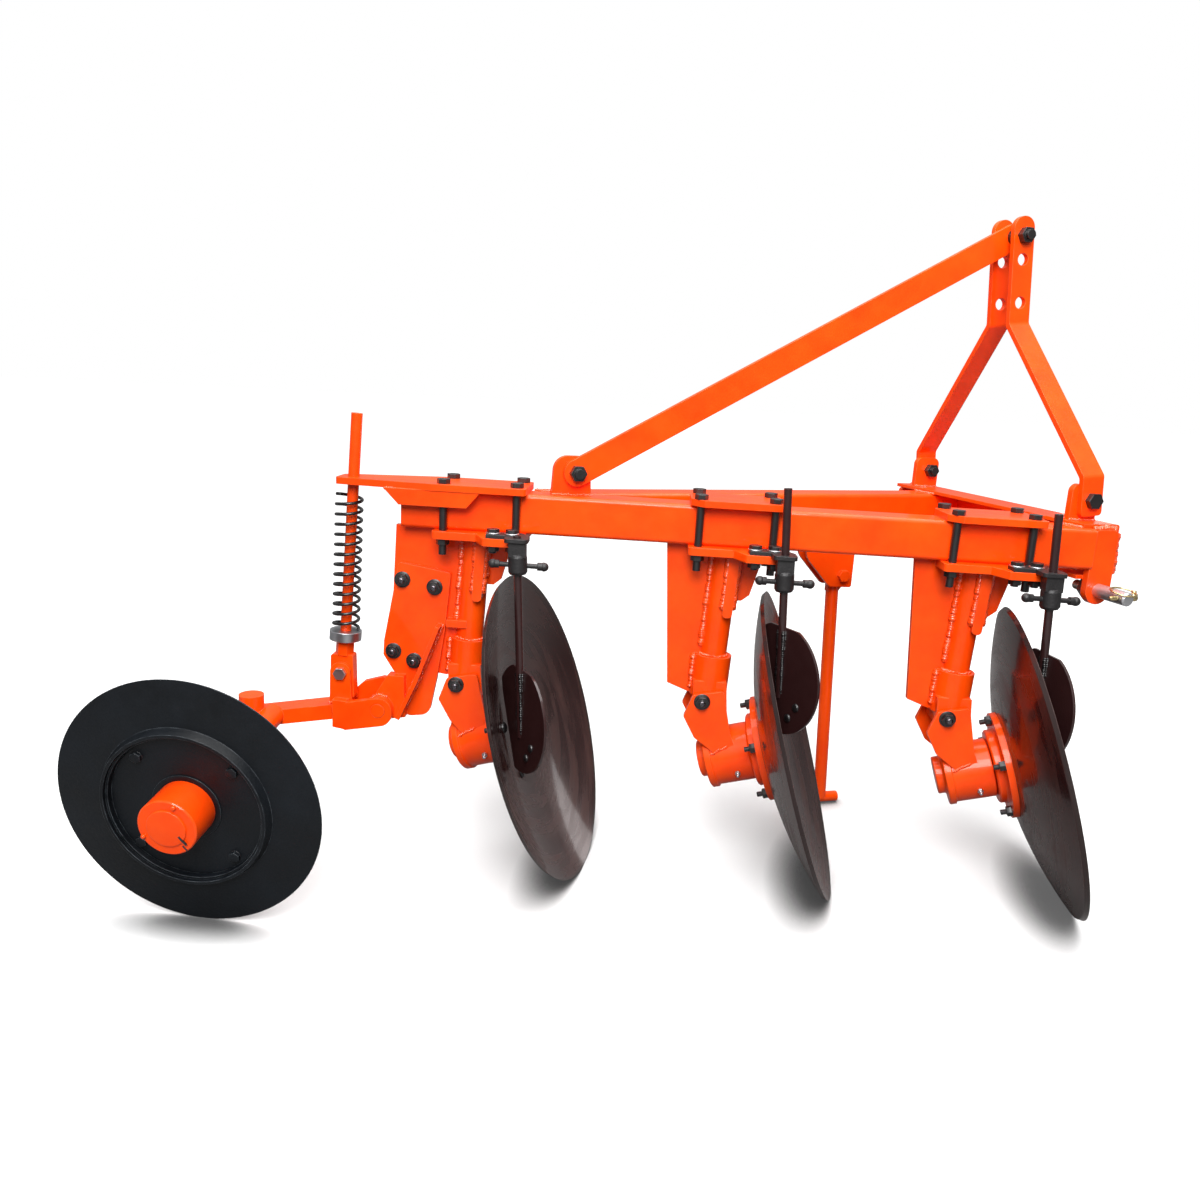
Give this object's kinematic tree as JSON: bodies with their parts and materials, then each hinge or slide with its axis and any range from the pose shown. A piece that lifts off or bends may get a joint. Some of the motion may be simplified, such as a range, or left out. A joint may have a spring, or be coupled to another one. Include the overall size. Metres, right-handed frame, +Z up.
{
  "type": "disc plough",
  "caption": "Mounted disc plough: slanting beam with tilted free-turning dished discs, scrapers, A-frame headstock with stay, spring-loaded angled furrow wheel and folding stand.",
  "frame": {"origin": "centre of the bounding box on the floor", "axes": "+X the way the tractor pulls, +Y to the plough's left, +Z up"},
  "size_m": [2.1108, 1.0704, 1.4381],
  "materials": {
    "paint": "gloss orange-red paint",
    "black_steel": "satin black",
    "disc_steel": "gloss dark varnish",
    "zinc": "zinc plated",
    "bright_steel": "machined"
  },
  "bodies": {
    "frame": {"main_beam": "paint", "strut_beam": "paint", "hitch_pin_right": "bright_steel", "hitch_pin_left": "bright_steel", "cross_beam": "paint", "mast_arm_right": "paint", "mast_arm_left": "paint", "stay_bar": "paint", "mast_bolts": "black_steel", "leg_1": "paint", "hub_bracket_1": "paint", "clamp_plate_1": "paint", "scraper_bracket_1": "black_steel", "scraper_1": "black_steel", "leg_2": "paint", "hub_bracket_2": "paint", "clamp_plate_2": "paint", "scraper_bracket_2": "black_steel", "scraper_2": "black_steel", "leg_3": "paint", "hub_bracket_3": "paint", "clamp_plate_3": "paint", "scraper_bracket_3": "black_steel", "scraper_3": "black_steel", "clamp_bolts": "black_steel", "tilt_bolts": "black_steel", "shelf_bolts": "black_steel", "spring_rod": "paint", "spring_seat": "zinc", "coil_spring": "black_steel", "wheel_bracket": "paint", "wheel_bracket_bolts": "black_steel", "wheel_arm": "paint", "wheel_axle": "bright_steel", "arm_pins": "zinc", "pivot_pin": "paint", "stand_bracket": "paint"},
    "disc_body_1": {"disc_1": "disc_steel", "disc_hub_1": "paint"},
    "disc_body_2": {"disc_2": "disc_steel", "disc_hub_2": "paint"},
    "disc_body_3": {"disc_3": "disc_steel", "disc_hub_3": "paint"},
    "wheel_body": {"furrow_wheel": "black_steel", "wheel_hub": "paint"},
    "stand_body": {"stand_leg": "paint"}
  },
  "joints": [
    {"name": "disc_1_spin", "type": "hinge", "parent": "frame", "child": "disc_body_1", "pos_m": [-0.11596, 0.09671, 0.31426], "axis": [0.8502, -0.429, 0.3051], "continuous": true},
    {"name": "disc_2_spin", "type": "hinge", "parent": "frame", "child": "disc_body_2", "pos_m": [0.39851, -0.07543, 0.31426], "axis": [0.8502, -0.429, 0.3051], "continuous": true},
    {"name": "disc_3_spin", "type": "hinge", "parent": "frame", "child": "disc_body_3", "pos_m": [0.88168, -0.2371, 0.31426], "axis": [0.8502, -0.429, 0.3051], "continuous": true},
    {"name": "wheel_spin", "type": "hinge", "parent": "frame", "child": "wheel_body", "pos_m": [-0.82018, -0.06986, 0.25046], "axis": [-0.3663, -0.9205, -0.1357], "continuous": true},
    {"name": "stand_fold", "type": "hinge", "parent": "frame", "child": "stand_body", "pos_m": [0.64421, 0.26819, 0.60998], "axis": [0, 1, 0], "range_deg": [0, 85]}
  ]
}
